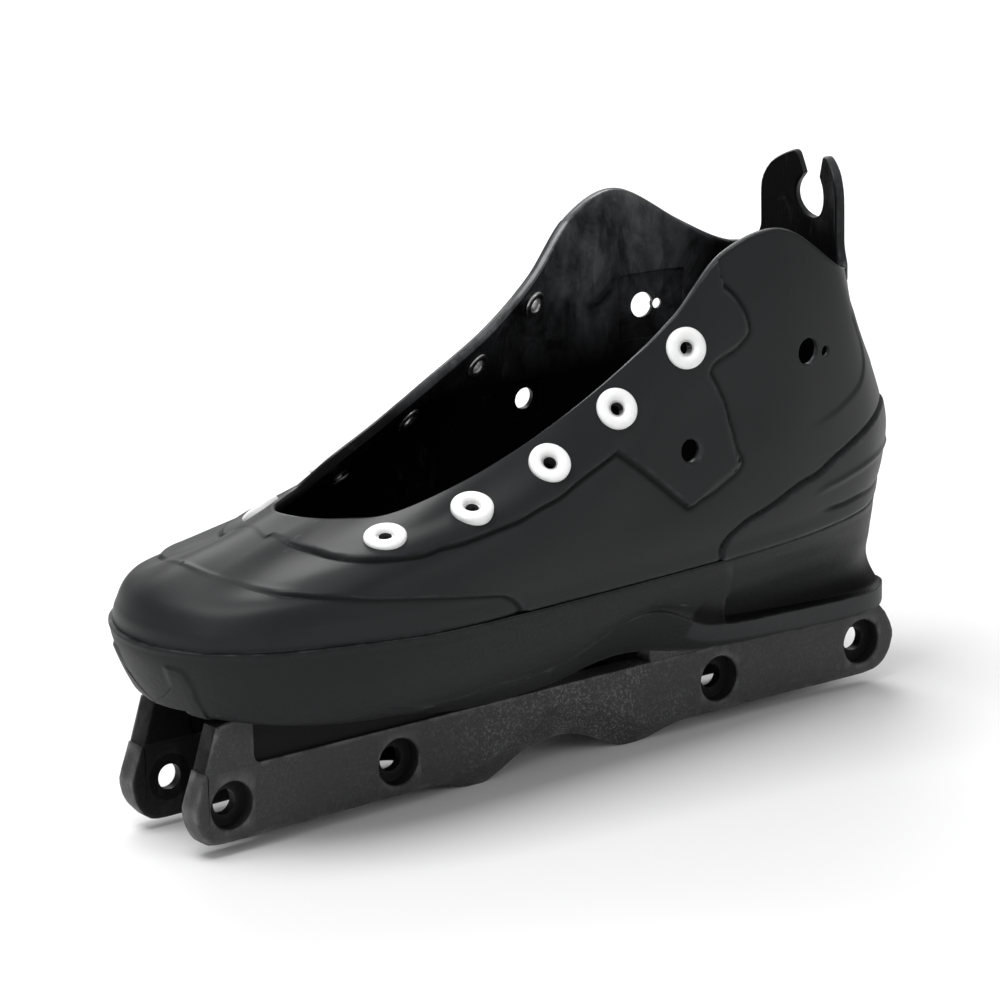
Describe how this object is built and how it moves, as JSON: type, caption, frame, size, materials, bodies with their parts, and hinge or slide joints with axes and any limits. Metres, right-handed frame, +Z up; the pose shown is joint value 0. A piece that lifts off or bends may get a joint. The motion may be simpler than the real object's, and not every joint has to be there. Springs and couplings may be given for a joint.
{
  "type": "inline skate boot shell with frame",
  "caption": "Hard moulded skate boot shell with an open lace throat, rear spine tab and eyelets, on a sole base and a two-rail wheel frame with a concave grind arch",
  "frame": {"origin": "centre of the box's underside, on the shoulders of the grind arch that the frame stands on", "axes": "X along the foot with the toe at -X and the heel at +X, Y across the foot, Z up"},
  "size_m": [0.288, 0.0975, 0.1768],
  "materials": {
    "shell_plastic": "smooth moulded charcoal plastic, soft sheen outside, rubbed and glossier inside",
    "sole_plastic": "fine grained charcoal nylon",
    "frame_plastic": "grained black glass-filled nylon",
    "white_nylon": "smooth white nylon",
    "rivet_steel": "nickel plated, satin",
    "bolt_steel": "black oxide",
    "insert_steel": "zinc plated"
  },
  "bodies": {
    "root": {"boot_shell": "shell_plastic", "sole_base": "sole_plastic", "frame": "frame_plastic", "outer_lace_eyelet_1": "white_nylon", "outer_eyelet_rivet_1": "rivet_steel", "outer_lace_eyelet_2": "white_nylon", "outer_eyelet_rivet_2": "rivet_steel", "outer_lace_eyelet_3": "white_nylon", "outer_eyelet_rivet_3": "rivet_steel", "outer_lace_eyelet_4": "white_nylon", "outer_eyelet_rivet_4": "rivet_steel", "outer_lace_eyelet_5": "white_nylon", "outer_eyelet_rivet_5": "rivet_steel", "inner_lace_eyelet_1": "white_nylon", "inner_eyelet_rivet_1": "rivet_steel", "inner_lace_eyelet_2": "white_nylon", "inner_eyelet_rivet_2": "rivet_steel", "inner_lace_eyelet_3": "white_nylon", "inner_eyelet_rivet_3": "rivet_steel", "inner_lace_eyelet_4": "white_nylon", "inner_eyelet_rivet_4": "rivet_steel", "inner_lace_eyelet_5": "white_nylon", "inner_eyelet_rivet_5": "rivet_steel", "front_frame_bolt": "bolt_steel", "front_threaded_insert": "insert_steel", "rear_frame_bolt": "bolt_steel", "rear_threaded_insert": "insert_steel", "sole_screw_1": "bolt_steel", "sole_screw_2": "bolt_steel", "sole_screw_3": "bolt_steel", "sole_screw_4": "bolt_steel"}
  },
  "joints": []
}
